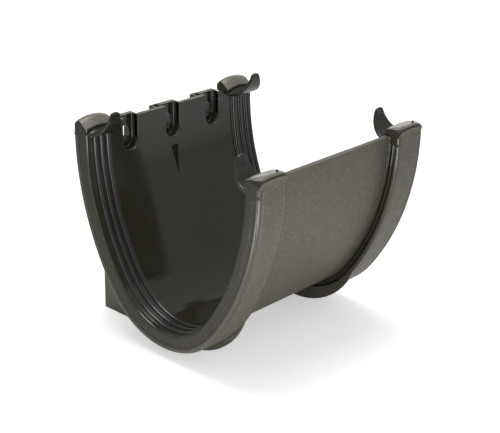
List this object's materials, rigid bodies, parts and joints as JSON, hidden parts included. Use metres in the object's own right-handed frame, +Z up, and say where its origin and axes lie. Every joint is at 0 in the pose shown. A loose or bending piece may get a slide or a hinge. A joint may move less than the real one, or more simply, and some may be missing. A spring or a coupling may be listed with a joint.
{
  "type": "gutter union",
  "caption": "Moulded gutter union with banded collars, rubber seals, spring clips, screw pockets and foot webs, joining two gutter lengths on a fascia.",
  "frame": {"origin": "under the middle of the union, level with the undersides of the foot webs", "axes": "+X along the gutter, +Y towards the fascia board, +Z up"},
  "size_m": [0.131, 0.1382, 0.1262],
  "materials": {
    "body_plastic": "dark grey-brown moulded plastic, fine speckled cast-iron effect outside, smooth and glossy inside",
    "seal_rubber": "black ribbed seal rubber, satin"
  },
  "bodies": {
    "root": {"union_body": "body_plastic", "left_seal": "seal_rubber", "right_seal": "seal_rubber"}
  },
  "joints": []
}
